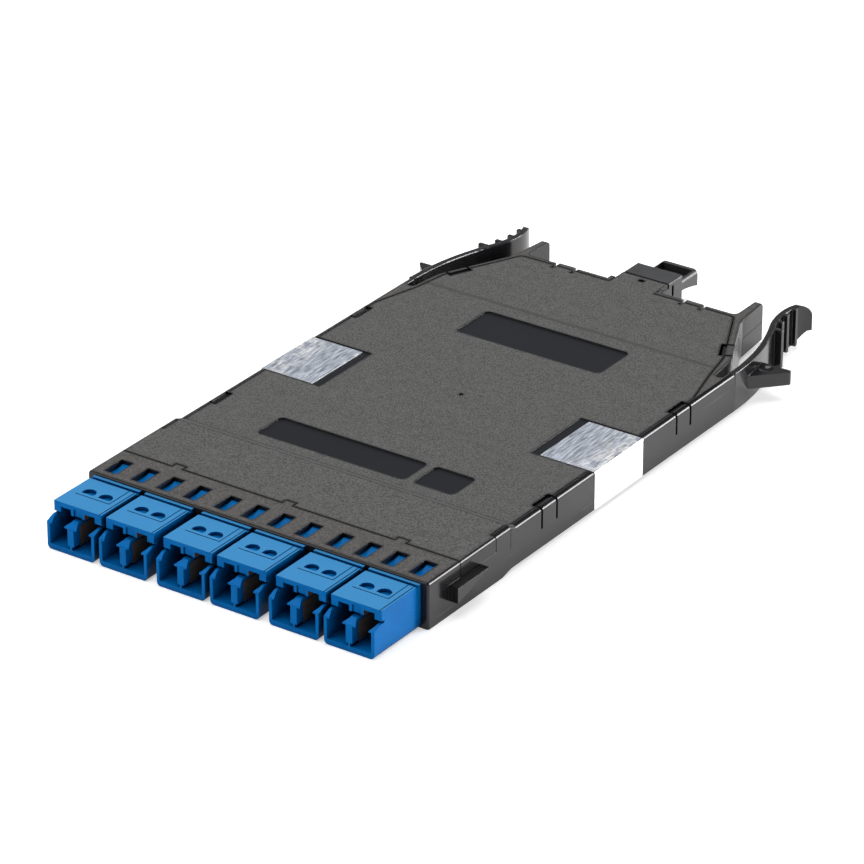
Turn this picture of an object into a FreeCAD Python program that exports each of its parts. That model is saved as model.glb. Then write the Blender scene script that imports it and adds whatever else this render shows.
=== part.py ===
import FreeCAD, Part
import math
import os

# Slim fibre cassette: six duplex optical adapters in front, a multi-fibre adapter at the back and two release
# levers. Millimetres. While modelling, x = 0 is the middle, y = 0 the front face of the bezel and z = 0 the
# underside.
# The finished pieces are moved along y so that the origin lies below the middle of the whole part.

# Housing
body_width = 87.0
front_height = 10.75
top_step = 0.75
top_slope_front = 29.7
top_slope_length = 2.0
bottom_step = 0.8
step_y = 30.0
ramp_length = 3.3
floor_thickness = 1.2
cover_thickness = 1.2
edge_round = 0.9
corner_round = 0.5
wall = 1.2
ledge = 0.8
lip_depth = 1.5
seam_gap = 0.25
fit_gap = 0.1
slide_gap = 0.05
overlap = 0.5              # how far portions of one moulding run into each other
side_line_low = 5.4
side_line_width = 0.15
side_line_depth = 0.1

# Bezel around the adapters, and the front edge of the cover
bezel_depth = 11.3
tongue_width = 3.0
tongue_depth = 1.7
window_width = 3.1
window_length = 6.0
window_front = 1.8
window_spread = 3.5

# Side skirt of the cover and rail tab below it
skirt_rear = 24.2
skirt_drop = 3.7
tab_front = 7.2
tab_length = 11.4
tab_height = 3.5
tab_reach = 2.3

# Snap fingers in the side walls
finger_middles = (44.1, 96.4)
finger_length = 4.9
slit_width = 0.7
slit_depth = 4.9
hook_reach = 0.8
hook_height = 0.9
hook_pocket = 1.4
hook_room = 1.0

# Plan of the rear end, right half; insets are from the side of the housing
slot_root = 114.2
neck_inset = 3.3
knee_inset = 4.3
knee_y = 123.0
knee_round = 12.0
heel_inset = 12.7
heel_y = 140.6
heel_round = 6.0
rear_y = 143.0
fin_inset = 15.5
fin_length = 9.1
fin_thickness = 1.7
fin_foot_round = 1.4
fin_round = 1.2
outer_edge_round = 0.4

# Joint between cover and tray at the rear, with the snap fingers there
seam_leave = 102.5
neck_seam = 1.0
right_seam = 1.9
left_seam = 1.2
rear_seam = 1.0
seam_corner = 1.5
corner_hook_middle = 127.2
corner_hook_length = 4.9
corner_slit = 0.5
rear_finger_middle = 17.2
rear_finger_width = 4.4
rear_finger_reach = 0.3
rear_notch = 0.8
rear_notch_length = 2.6

# Release levers
hinge_y = 117.8
lever_thickness = 1.5
lever_bend_radius = 65.0
lever_bend_angle = 23.0
lever_return_radius = 20.0
lever_flare_radius = 10.5
lever_flare_angle = 40.0
lever_edge_round = 0.25
lever_tip_rise = 2.6
lever_tip_slope = 4.5
lever_tip_flat = 1.0
lever_tip_round = 3.0
rib_places = (142.0, 145.7, 149.5, 153.3)
rib_reaches = (2.0, 1.25, 1.0, 0.8)
rib_width = 0.9
catch_front = 123.5
catch_rear = 131.2
catch_reach = 6.2
catch_low = 3.7
catch_top = 6.9
catch_end = 0.7
catch_front_round = 0.8
catch_rear_round = 0.3
dish_inset = 2.4
dish_reach = 1.2
dish_radius = 1.65
dish_depth = 0.3

# Duplex adapters
adapter_width = 12.4
adapter_margin = 1.85
pair_gap = 1.2                 # extra room between one pair of adapters and the next
adapter_top = 10.1
adapter_front = -16.2
adapter_setback = 2.6
adapter_rear = 11.0
adapter_corner = 1.0
adapter_slant_low = 6.3
adapter_slant_length = 2.0
adapter_ledge = 7.15
roof_low = 7.7
roof_groove_depth = 0.9
shoulder = 0.35
inner_low = 0.9
inner_top = 9.4
port_pitch = 6.25
port_width = 4.65
port_low = 1.3
port_height = 6.2
latch_slot_width = 2.65
latch_slot_top = 9.0
latch_slot_depth = 5.0
divider_foot = 0.5
divider_foot_height = 0.75
lip_length = 1.6
lip_reach = 0.8
wall_lip_reach = 0.65
roof_recess_width = 2.1
roof_recess_top = 9.4
roof_recess_depth = 0.3
panel_half_width = 4.5
panel_front = -8.8
panel_groove = 0.25
panel_depth = 0.15
back_groove_front = -1.7
back_groove_width = 0.9
back_groove_depth = 0.5
lens_spread = 2.15
lens_middle = -7.0
lens_radius = 1.6
lens_front = -7.7
lens_ramp = 1.2
lens_depth = 0.8
edge_groove_inset = 0.6
edge_groove_width = 0.25
edge_groove_depth = 0.2
tooth_width = 2.3
tooth_length = 2.6
tooth_height = 0.5

# Optical parts in each port
mating_y = -2.5
sleeve_length = 6.8
sleeve_outer = 0.8
sleeve_bore = 0.63
sleeve_slit = 0.25
holder_plate = 2.0
holder_outer = 1.3
holder_bore = 0.86
holder_lip_bore = 0.7
holder_lip = 0.5
cheek_thickness = 0.3
cheek_front = -14.0
cheek_margin = 0.4
ferrule_radius = 0.6245
plug_size = 4.5
plug_front = 2.2
plug_rear = 13.5
plug_latch_width = 2.3
plug_latch_start = 1.0
plug_latch_length = 7.0
plug_latch_height = 0.9
boot_end = 21.0
boot_root_radius = 1.8
boot_tip_radius = 0.9

# Fibre store
coil_centre_y = 66.0
coil_radius = 20.0
coil_section = 1.8
lead_section = 1.4
hub_gap = 0.4
hub_wall = 1.2
hub_height = 5.2
hub_tab_width = 5.0
hub_tab_reach = 3.8
hub_tab_thickness = 0.9
hub_post_radius = 2.5
tail_radius = 0.45
tail_pitch = 1.05
tail_straight = 3.0
tail_turn_end = 54.0
tail_end = 62.0
tail_clearance = 0.6

# Multi-fibre adapter at the rear, its plug and cap
multi_x = 1.0
multi_width = 12.1
multi_front = 126.0
multi_shoulder = 148.2
multi_rear = 154.0
multi_head_gap = 0.5
multi_head_round = 0.3
multi_flange_setback = 4.6
multi_flange_length = 1.6
multi_flange_reach = 0.9
multi_port_width = 9.8
multi_port_height = 5.4
multi_port_depth = 13.0
multi_waist_width = 7.2
multi_waist_height = 3.2
multi_z = 5.4
multi_groove_y = 149.8
multi_groove_width = 0.8
multi_groove_depth = 0.6
multi_groove_height = 2.7
multi_groove_drop = 1.0
cradle_rib = 1.1
cradle_front = 130.0
cradle_reach = 1.6
cap_rear = 162.4
cap_plug_depth = 8.0
cap_grip_width = 9.8
cap_grip_low = 3.85
cap_neck_low = 5.2
cap_arch = 0.3
cap_grip_top = 7.8
cap_wall = 0.8
cap_plate = 1.0
cap_pocket_depth = 1.8
cap_top_round = 1.2
multi_plug_front = 118.0
multi_plug_nose = 137.0
multi_plug_grip_width = 12.0
multi_plug_room = 0.3
multi_boot_end = 112.5
multi_boot_width = 6.0
multi_boot_height = 3.4
array_ferrule_width = 6.4
array_ferrule_height = 2.5
array_ferrule_length = 8.0
array_ferrule_reach = 2.3
breakout_width = 12.0
breakout_length = 11.0
breakout_rear = 109.5
breakout_height = 4.6
breakout_round = 1.0
ribbon_width = 3.1
ribbon_height = 0.4

# Surface recesses in the cover, and the seals
recess_depth = 0.25
recess_round = 1.2
rear_recess = (-19.0, 19.0, 100.5, 113.0)
front_recess = (-25.6, 12.8, 35.2, 44.2)
square_recess = (14.9, 25.1, 35.4, 44.2)
gate_mark_y = 75.1
gate_mark_radius = 0.5
key_mark_width = 1.5
key_mark_length = 1.1
key_mark_setback = 2.2
key_mark_depth = 0.35
seal_thickness = 0.12
seal_front = 61.2
seal_length = 18.8
seal_width = 13.7
seal_margin = 0.5
seal_inner_margin = 2.3
seal_recess_depth = 0.2
seal_fold = 0.3

# Sizes that follow from the ones above
half = body_width / 2
adapter_pitch = (body_width - 2 * adapter_margin - adapter_width - 2 * pair_gap) / 5
pair_pitch = 2 * adapter_pitch + pair_gap
rear_top = front_height - top_step
floor_low = bottom_step + floor_thickness
seat_front = front_height - cover_thickness
seat_rear = rear_top - cover_thickness
skirt_low = front_height - skirt_drop
side_inner = half - wall
top_slope_rear = top_slope_front + top_slope_length
lever_x = half - lever_thickness / 2
lever_inner = half - lever_thickness
neck_x = half - neck_inset
knee_x = half - knee_inset
heel_x = half - heel_inset
fin_inner = half - fin_inset
fin_end = rear_y + fin_length
slot_round = 0.45 * (neck_inset - lever_thickness)
chamfer_run = (knee_x - heel_x) / (heel_y - knee_y)
chamfer_turn = math.atan(chamfer_run)
optic_z = port_low + fit_gap + plug_size / 2
coil_z = floor_low + coil_section + slide_gap
hub_outer = coil_radius - coil_section - hub_gap
multi_flange_y = rear_y - multi_flange_setback
whole_shift = -(adapter_front + cap_rear) / 2


def box(x0, x1, y0, y1, z0, z1):
    return Part.makeBox(x1 - x0, y1 - y0, z1 - z0, FreeCAD.Vector(x0, y0, z0))


def plan_prism(points, z0, z1):
    corners = [FreeCAD.Vector(x, y, z0) for x, y in points]
    face = Part.Face(Part.makePolygon(corners + corners[:1]))
    return face.extrude(FreeCAD.Vector(0, 0, z1 - z0))


def side_prism(points, x0, x1):
    corners = [FreeCAD.Vector(x0, y, z) for y, z in points]
    face = Part.Face(Part.makePolygon(corners + corners[:1]))
    return face.extrude(FreeCAD.Vector(x1 - x0, 0, 0))


def pin_y(x, z, radius, y0, y1):
    return Part.makeCylinder(radius, y1 - y0, FreeCAD.Vector(x, y0, z), FreeCAD.Vector(0, 1, 0))


def post(x, y, radius, z0, z1):
    return Part.makeCylinder(radius, z1 - z0, FreeCAD.Vector(x, y, z0))


def mirrored(shape):
    return shape.mirror(FreeCAD.Vector(0, 0, 0), FreeCAD.Vector(1, 0, 0))


def both_sides(shape):
    return [shape, mirrored(shape)]


def rounded(shape, radius, wanted):
    """Rounds the edges whose middle point passes the test."""
    edges = [e for e in shape.Edges if wanted(e, e.valueAt((e.FirstParameter + e.LastParameter) / 2))]
    return shape.makeFillet(radius, edges)


def runs_along(edge, axis):
    ends = edge.Vertexes
    if len(ends) < 2:
        return False
    step = ends[1].Point - ends[0].Point
    return abs(step[axis]) > 0.999 * step.Length


def rounded_plate(x0, x1, y0, y1, z0, z1, radius):
    return rounded(box(x0, x1, y0, y1, z0, z1), radius, lambda e, m: runs_along(e, 2))


def full_outline():
    """Plan of the housing, right half from front to back, then the left half."""
    right = [(half, 0.0), (half, hinge_y), (lever_inner, hinge_y), (lever_inner, slot_root),
             (neck_x, slot_root), (knee_x, knee_y), (heel_x, heel_y), (fin_inner + fin_thickness, fin_end),
             (fin_inner, fin_end), (fin_inner, rear_y)]
    return right + [(-x, y) for x, y in reversed(right)]


def lid_outline(out):
    """Plan of the joint between cover and tray, drawn in by a distance all round."""
    back = rear_y - rear_seam - out
    halves = []
    for seam in (right_seam, left_seam):
        knee = knee_x - seam - out / math.cos(chamfer_turn)
        halves.append([(side_inner - out, bezel_depth + out), (side_inner - out, seam_leave),
                       (neck_x - neck_seam - out, slot_root), (knee, knee_y),
                       (knee - (back - knee_y) * chamfer_run, back)])
    return halves[0] + [(-x, y) for x, y in reversed(halves[1])]


def lid_prism(out, z0, z1):
    back = rear_y - rear_seam - out
    return rounded(plan_prism(lid_outline(out), z0, z1), seam_corner,
                   lambda e, m: runs_along(e, 2) and m.y > back - 0.1)


def cover_underside(shift):
    """Side view of the cover's underside from front to back; shift moves its sloping stretch forwards."""
    bend = cover_thickness * math.tan(math.atan2(top_step, top_slope_length) / 2) + shift
    return [(bezel_depth, seat_front), (top_slope_front - bend, seat_front),
            (top_slope_rear - bend, seat_rear), (rear_y, seat_rear)]


def adapter_centres():
    return [n * pair_pitch + s * adapter_pitch / 2 for n in (-1, 0, 1) for s in (-1, 1)]


def port_centres():
    return [x + s * port_pitch / 2 for x in adapter_centres() for s in (-1, 1)]


def front_tongues(gap):
    """Three tongues of the bezel that reach into the front edge of the cover, less a gap."""
    reach = tongue_width / 2 - gap
    return [box(n * pair_pitch - reach, n * pair_pitch + reach, bezel_depth - overlap,
                bezel_depth + tongue_depth - gap, seat_front, front_height) for n in (-1, 0, 1)]


def on_chamfer(shape):
    """Takes a shape from the origin to the corner hook's place on the outer face of the chamfered wall."""
    shape.rotate(FreeCAD.Vector(0, 0, 0), FreeCAD.Vector(0, 0, 1), math.degrees(chamfer_turn))
    x = knee_x - (corner_hook_middle - knee_y) * chamfer_run
    shape.translate(FreeCAD.Vector(x, corner_hook_middle, 0))
    return shape


def corner_finger_cuts(seam):
    """Slits at both ends of the corner finger, and room behind it."""
    face = -seam * math.cos(chamfer_turn)
    reach = corner_hook_length / 2
    low = rear_top - slit_depth
    shapes = [box(face - ledge - hook_room, face, -reach, reach, low, front_height)]
    for y in (-reach - corner_slit, reach):
        shapes.append(box(face - ledge - hook_room, 1, y, y + corner_slit, low, front_height))
    return [on_chamfer(shape) for shape in shapes]


def corner_hook(seam):
    """Snap nose on the chamfered wall; it shows in the notch of the cover."""
    face = -seam * math.cos(chamfer_turn)
    reach = corner_hook_length / 2 - fit_gap
    return on_chamfer(box(face - hook_reach, face + fit_gap, -reach, reach,
                          seat_rear, seat_rear + hook_height))


def corner_notch(seam):
    face = -seam * math.cos(chamfer_turn)
    reach = corner_hook_length / 2 + corner_slit
    return on_chamfer(box(face - hook_pocket, 1, -reach, reach, seat_rear - lip_depth, front_height))


def rail_tab():
    """Ramp on the side that runs in the rail: flat on top, its underside rising towards the back."""
    rear = tab_front + tab_length
    return side_prism([(tab_front, skirt_low - tab_height), (tab_front, skirt_low), (rear, skirt_low)],
                      half - wall / 2, half + tab_reach)


def snap_finger_cuts():
    """Slits that free the snap fingers of a side wall, and room behind them."""
    cuts = []
    low = rear_top - slit_depth
    for middle in finger_middles:
        reach = finger_length / 2
        cuts.append(box(side_inner - ledge - hook_room, side_inner, middle - reach, middle + reach,
                        low, front_height))
        for y in (middle - reach - slit_width, middle + reach):
            cuts.append(box(side_inner - ledge - hook_room, half + 1, y, y + slit_width, low, front_height))
    return cuts


def snap_hooks():
    noses = []
    for middle in finger_middles:
        reach = finger_length / 2 - fit_gap
        noses.append(box(side_inner - hook_reach, side_inner + fit_gap, middle - reach, middle + reach,
                         seat_rear, seat_rear + hook_height))
    return noses


def rear_notches(low):
    """Cuts at both sides of the two rear snap fingers."""
    cuts = []
    for side in (-1, 1):
        for edge in (-1, 1):
            x = side * rear_finger_middle + edge * (rear_finger_width + rear_notch) / 2
            cuts.append(box(x - rear_notch / 2, x + rear_notch / 2, rear_y - rear_notch_length,
                            rear_y + rear_finger_reach + 1, low, front_height))
    return cuts


def hinge_socket():
    """Round seat in the end of the side wall for the rounded root of the lever."""
    return post(lever_x, hinge_y, lever_thickness / 2 + slide_gap, bottom_step - 1, front_height)


def side_line():
    """Fine upright line in the side face where the top begins to slope."""
    return box(half - side_line_depth, half + 1, top_slope_front - side_line_width / 2,
               top_slope_front + side_line_width / 2, side_line_low, front_height)


def bezel_cuts():
    cuts = []
    for x in adapter_centres():
        reach = adapter_width / 2 - shoulder + fit_gap
        cuts.append(box(x - reach, x + reach, -1, bezel_depth + 1, inner_low - fit_gap, inner_top + fit_gap))
        for side in (-1, 1):
            middle = x + side * window_spread
            cuts.append(box(middle - window_width / 2, middle + window_width / 2, window_front,
                            window_front + window_length, inner_low, front_height + 1))
    return cuts


def fibre_hub():
    """Round guide wall for the coiled fibre, with tabs above the coil and a post that holds the cover up."""
    top = floor_low + hub_height
    hub = post(0, coil_centre_y, hub_outer, floor_low - overlap, top)
    hub = hub.cut(post(0, coil_centre_y, hub_outer - hub_wall, floor_low - 1, top + 1))
    parts = []
    for turn in (45, 135, 225, 315):
        tab = box(hub_outer - hub_wall, hub_outer + hub_tab_reach, -hub_tab_width / 2, hub_tab_width / 2,
                  top - hub_tab_thickness, top)
        tab.rotate(FreeCAD.Vector(0, 0, 0), FreeCAD.Vector(0, 0, 1), turn)
        tab.translate(FreeCAD.Vector(0, coil_centre_y, 0))
        parts.append(tab)
    parts.append(post(0, coil_centre_y, hub_post_radius, floor_low - overlap, seat_rear - slide_gap))
    return hub.multiFuse(parts)


def cradle():
    """Ribs that hold the multi-fibre adapter by its flange, and go on as low walls beside the tongue."""
    ribs = []
    for side in (-1, 1):
        inner = multi_x + side * (multi_width / 2 + fit_gap)
        outer = inner + side * cradle_rib
        x0, x1 = sorted((inner, outer))
        ribs.append(box(x0, x1, cradle_front, multi_flange_y - fit_gap, floor_low - overlap, multi_z))
        ribs.append(box(x0, x1, multi_flange_y + multi_flange_length + fit_gap, rear_y - rear_seam / 2,
                        floor_low - overlap, multi_z))
        ribs.append(box(x0, x1, rear_y - rear_seam / 2, rear_y + cradle_reach, bottom_step, rear_top))
    return ribs


def housing_blank():
    """Outer form of the tray: slim rear portion with its fins, thicker front portion, and rounded edges."""
    body = plan_prism(full_outline(), bottom_step, rear_top)
    for x, y, radius in ((lever_inner, slot_root, slot_round), (neck_x, slot_root, slot_round),
                         (knee_x, knee_y, knee_round), (heel_x, heel_y, heel_round),
                         (fin_inner, rear_y, fin_foot_round)):
        body = rounded(body, radius,
                       lambda e, m: runs_along(e, 2) and abs(abs(m.x) - x) < 0.1 and abs(m.y - y) < 0.1)
    front = [(0, 0), (step_y - ramp_length, 0), (step_y, bottom_step), (top_slope_rear, bottom_step),
             (top_slope_rear, rear_top), (top_slope_front, front_height), (0, front_height)]
    body = body.fuse(side_prism(front, -half, half)).removeSplitter()
    body = rounded(body, edge_round,
                   lambda e, m: abs(m.x) > half - 0.1 and m.z > seat_rear and not runs_along(e, 2))
    body = rounded(body, corner_round, lambda e, m: runs_along(e, 2) and m.y < 0.1)
    body = rounded(body, fin_round,
                   lambda e, m: runs_along(e, 0) and m.y > fin_end - 0.1 and m.z > rear_top - 0.1)
    return rounded(body, outer_edge_round,
                   lambda e, m: (m.z > rear_top - 0.01 and m.y > slot_root + 1
                                 and heel_x - 2 < abs(m.x) < neck_x))


def base_tray():
    body = housing_blank()
    above = [(rear_y, front_height + 1), (bezel_depth, front_height + 1)]
    pocket = side_prism(cover_underside(fit_gap) + above, -half, half)
    pocket = pocket.common(lid_prism(0.0, 0, front_height + 1))
    front_pocket = box(-side_inner, side_inner, bezel_depth, bezel_depth + ledge,
                       seat_front, front_height + 1)
    hollow = lid_prism(seam_gap + ledge, floor_low, front_height + 1)
    front_hollow = box(-side_inner + ledge, side_inner - ledge, bezel_depth, step_y - ramp_length,
                       floor_thickness, front_height)
    reach = multi_width / 2 + fit_gap
    channel = box(multi_x - reach, multi_x + reach, rear_y - rear_seam - seam_gap - ledge - 1, multi_shoulder,
                  floor_low, front_height)
    cuts = [pocket, front_pocket, hollow, front_hollow, channel]
    cuts += both_sides(box(side_inner - 1, half + 1, bezel_depth, skirt_rear + seam_gap,
                           skirt_low, front_height + 1))
    cuts += bezel_cuts() + rear_notches(multi_z)
    for shape in snap_finger_cuts() + [seal_recess(), side_line()]:
        cuts += both_sides(shape)
    cuts += corner_finger_cuts(right_seam) + [mirrored(s) for s in corner_finger_cuts(left_seam)]
    body = body.cut(cuts)
    adds = [fibre_hub()] + cradle() + front_tongues(seam_gap)
    adds += [corner_hook(right_seam), mirrored(corner_hook(left_seam))]
    adds.append(box(multi_x - reach, multi_x + reach, rear_y - overlap, multi_shoulder - fit_gap,
                    bottom_step, floor_low))
    for shape in snap_hooks() + [rail_tab()]:
        adds += both_sides(shape)
    for side in (-1, 1):
        x = side * rear_finger_middle
        adds.append(box(x - rear_finger_width / 2, x + rear_finger_width / 2, rear_y - rear_seam / 2,
                        rear_y + rear_finger_reach, multi_z, rear_top))
    body = body.multiFuse(adds)
    body = body.cut(both_sides(hinge_socket()))
    return body.removeSplitter()


def seal_recess():
    return box(half - seal_width - seal_inner_margin, half + 1, seal_front - seal_margin,
               seal_front + seal_length + seal_margin, rear_top - seal_recess_depth, front_height)


def cover_lip():
    """Rim below the cover that keeps it in place, open where hooks and the rear adapter are."""
    outside = seam_gap + ledge + fit_gap
    low = seat_rear - lip_depth
    lip = lid_prism(outside, low, seat_rear + overlap)
    lip = lip.cut(lid_prism(outside + cover_thickness, 0, front_height))
    beside = multi_width / 2 + 2 * cradle_rib
    gaps = [box(-half, half, 0, top_slope_rear, 0, front_height),
            box(multi_x - beside, multi_x + beside, cradle_front, rear_y, 0, front_height)]
    for middle in finger_middles:
        reach = finger_length / 2 + slit_width + hook_room
        gaps.append(box(-half, half, middle - reach, middle + reach, 0, front_height))
    reach = rear_finger_width / 2 + rear_notch + hook_room
    gaps += both_sides(box(rear_finger_middle - reach, rear_finger_middle + reach,
                           rear_y - 2 * rear_notch_length, rear_y, 0, front_height))
    reach = corner_hook_length / 2 + corner_slit + hook_room
    gaps += both_sides(on_chamfer(box(-corner_hook_length, 1, -reach, reach, 0, front_height)))
    return lip.cut(gaps)


def top_cover():
    top = [(rear_y, rear_top), (top_slope_rear, rear_top), (top_slope_front, front_height),
           (bezel_depth, front_height)]
    plate = side_prism(cover_underside(0.0) + top, -half, half)
    plate = plate.common(lid_prism(seam_gap, 0, front_height))
    skirt = box(side_inner - seam_gap - overlap, half, bezel_depth + seam_gap, skirt_rear,
                skirt_low + slide_gap, front_height)
    skirt = rounded(skirt, edge_round,
                    lambda e, m: runs_along(e, 1) and m.x > half - 0.1 and m.z > seat_front)
    reach = multi_width / 2 - fit_gap
    bridge = box(multi_x - reach, multi_x + reach, rear_y - rear_seam - seam_gap - ledge,
                 multi_shoulder - multi_head_gap, seat_rear, rear_top)
    cover = plate.multiFuse([bridge, cover_lip()] + both_sides(skirt))
    cuts = front_tongues(0.0) + rear_notches(0)
    for x0, x1, y0, y1 in (rear_recess, front_recess, square_recess):
        cuts.append(rounded_plate(x0, x1, y0, y1, rear_top - recess_depth, front_height, recess_round))
    cuts.append(post(0, gate_mark_y, gate_mark_radius, rear_top - recess_depth, front_height))
    for middle in finger_middles:
        reach = finger_length / 2 + slit_width
        cuts += both_sides(box(side_inner - hook_pocket, half, middle - reach, middle + reach,
                               0, front_height))
    cuts += [corner_notch(right_seam), mirrored(corner_notch(left_seam))]
    cuts += both_sides(seal_recess())
    mark_y = multi_shoulder - key_mark_setback
    cuts.append(box(multi_x - key_mark_width / 2, multi_x + key_mark_width / 2, mark_y - key_mark_length / 2,
                    mark_y + key_mark_length / 2, rear_top - key_mark_depth, front_height))
    return cover.cut(cuts).removeSplitter()


def arc_strip(start, heading, bends, thickness):
    """Strip of even thickness along tangent arcs. Its outer face starts at start; headings are in degrees."""
    outer, inner = [], []
    x, y, angle = start[0], start[1], heading
    for radius, turn in bends:
        sign = 1 if turn > 0 else -1
        normal = math.radians(angle + 90 * sign)
        centre = FreeCAD.Vector(x + radius * math.cos(normal), y + radius * math.sin(normal), 0)
        rays = [math.radians(angle + part * turn - 90 * sign) for part in (0, 0.5, 1)]
        for side, reach in ((outer, radius), (inner, radius - sign * thickness)):
            side.append([centre + FreeCAD.Vector(reach * math.cos(r), reach * math.sin(r), 0) for r in rays])
        x, y, angle = outer[-1][2].x, outer[-1][2].y, angle + turn
    outer_edges = [Part.Arc(*points).toShape() for points in outer]
    edges = list(outer_edges)
    edges.append(Part.LineSegment(outer[-1][2], inner[-1][2]).toShape())
    edges += [Part.Arc(*reversed(points)).toShape() for points in reversed(inner)]
    edges.append(Part.LineSegment(inner[0][0], outer[0][0]).toShape())
    return Part.Face(Part.Wire(edges)), outer_edges


def face_x(arcs, y):
    """x of the outer face of the lever at a given y."""
    for arc in arcs:
        if arc.BoundBox.YMin <= y <= arc.BoundBox.YMax:
            circle = arc.Curve
            middle = arc.valueAt((arc.FirstParameter + arc.LastParameter) / 2)
            side = 1 if middle.x > circle.Center.x else -1
            return circle.Center.x + side * math.sqrt(circle.Radius ** 2 - (y - circle.Center.y) ** 2)
    return arcs[-1].BoundBox.XMax


def lever_catch(arcs):
    """Nose that locks in the rail: a sloping front, a blunt end and a shallow finger dish in its top."""
    end_x = half + catch_reach
    front_x, rear_x = face_x(arcs, catch_front), face_x(arcs, catch_rear)
    points = [(front_x - lever_thickness / 2, catch_front), (front_x, catch_front),
              (end_x, catch_rear - catch_end), (end_x, catch_rear),
              (rear_x - lever_thickness / 2, catch_rear)]
    catch = plan_prism(points, catch_low, catch_top)
    for y, radius in ((catch_rear - catch_end, catch_front_round), (catch_rear, catch_rear_round)):
        catch = rounded(catch, radius,
                        lambda e, m: runs_along(e, 2) and m.x > end_x - 0.1 and abs(m.y - y) < catch_end / 2)
    ball = (dish_radius ** 2 + dish_depth ** 2) / (2 * dish_depth)
    centre = FreeCAD.Vector(half + dish_reach, catch_rear - dish_inset, catch_top - dish_depth + ball)
    return catch.cut(Part.makeSphere(ball, centre))


def release_lever():
    """Right lever: a springy arm that bends inwards and flares at its tip, with grip ribs and a catch."""
    bends = [(lever_bend_radius, lever_bend_angle), (lever_return_radius, -lever_bend_angle),
             (lever_flare_radius, -lever_flare_angle)]
    strip, arcs = arc_strip((half, hinge_y), 90.0, bends, lever_thickness)
    arm = strip.extrude(FreeCAD.Vector(0, 0, rear_top - bottom_step))
    arm.translate(FreeCAD.Vector(0, 0, bottom_step))
    arm = rounded(arm, lever_edge_round,
                  lambda e, m: m.z > rear_top - 0.01 and e.Length > 2 * lever_thickness)
    root = post(lever_x, hinge_y, lever_thickness / 2, bottom_step, rear_top)
    parts = [root, lever_catch(arcs)]
    for place, reach in zip(rib_places, rib_reaches):
        x = face_x(arcs, place)
        parts.append(box(x - lever_thickness / 2, x + reach, place - rib_width / 2, place + rib_width / 2,
                         bottom_step, rear_top))
    tip = arcs[-1].BoundBox.YMax
    low = bottom_step + lever_tip_rise
    side = side_prism([(0, bottom_step), (tip - lever_tip_slope, bottom_step), (tip - lever_tip_flat, low),
                       (tip, low), (tip, rear_top), (0, rear_top)], 0, 2 * half)
    side = rounded(side, lever_tip_round,
                   lambda e, m: runs_along(e, 0) and m.y > tip - 0.1 and m.z > rear_top - 1)
    return arm.multiFuse(parts).common(side).removeSplitter()


def adapter_ports():
    """Cavities of one adapter around x = 0: two ports from the front, two from the back, and their slots."""
    cuts = []
    for side in (-1, 1):
        x = side * port_pitch / 2
        cuts.append(box(x - port_width / 2, x + port_width / 2, adapter_front - 1, adapter_rear + 1,
                        port_low, port_low + port_height))
        for y0, y1 in ((adapter_front - 1, adapter_front + adapter_setback + latch_slot_depth),
                       (adapter_rear - latch_slot_depth, adapter_rear + 1)):
            cuts.append(box(x - latch_slot_width / 2, x + latch_slot_width / 2, y0, y1,
                            port_low, latch_slot_top))
    cheek_x = port_pitch / 2 - port_width / 2
    cuts.append(box(cheek_x - cheek_thickness, cheek_x + fit_gap, cheek_front - slide_gap,
                    mating_y + holder_plate / 2 + slide_gap, port_low + cheek_margin - slide_gap,
                    adapter_slant_low + slide_gap))
    return cuts


def adapter_top_cuts():
    """Shallow outline, lens pockets, groove and edge line in the top face."""
    top = adapter_top
    rear = back_groove_front
    cuts = []
    ramp = [(lens_front, top), (lens_front + lens_ramp, top - lens_depth), (0, top - lens_depth),
            (0, top + 1), (lens_front, top + 1)]
    for side in (-1, 1):
        lens = post(side * lens_spread, lens_middle, lens_radius, top - lens_depth - 1, top + 1)
        cuts.append(lens.common(side_prism(ramp, -adapter_width, adapter_width)))
    line = adapter_width / 2 - edge_groove_inset
    cuts.append(box(line, line + edge_groove_width, adapter_front, rear, top - edge_groove_depth, top + 1))
    cuts.append(box(panel_half_width - panel_groove, panel_half_width, panel_front, rear,
                    top - panel_depth, top + 1))
    cuts.append(box(-panel_half_width, panel_half_width, panel_front, panel_front + panel_groove,
                    top - panel_depth, top + 1))
    cuts.append(box(-adapter_width, adapter_width, rear, rear + back_groove_width,
                    top - back_groove_depth, top + 1))
    return cuts


def adapter_lips(reach):
    """Small lips at the front of the divider and the side walls, above the latch openings."""
    y0, y1 = adapter_front, adapter_front + lip_length
    rear_z = adapter_slant_low + (adapter_ledge - adapter_slant_low) * lip_length / adapter_slant_length
    below = optic_z + plug_size / 2 + fit_gap
    slope = side_prism([(y0, adapter_slant_low), (y1, rear_z),
                        (y1, rear_z - fit_gap - adapter_slant_low + below), (y0, below)], -reach, reach)
    stem = (port_pitch - port_width) / 2
    inner = (port_pitch + port_width) / 2
    plans = [[(-stem - lip_reach, y0), (stem + lip_reach, y0), (stem, y1), (-stem, y1)]]
    for side in (-1, 1):
        plans.append([(side * (inner - wall_lip_reach), y0), (side * reach, y0), (side * reach, y1),
                      (side * inner, y1)])
    return [plan_prism(plan, below - 1, adapter_top).common(slope) for plan in plans]


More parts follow.
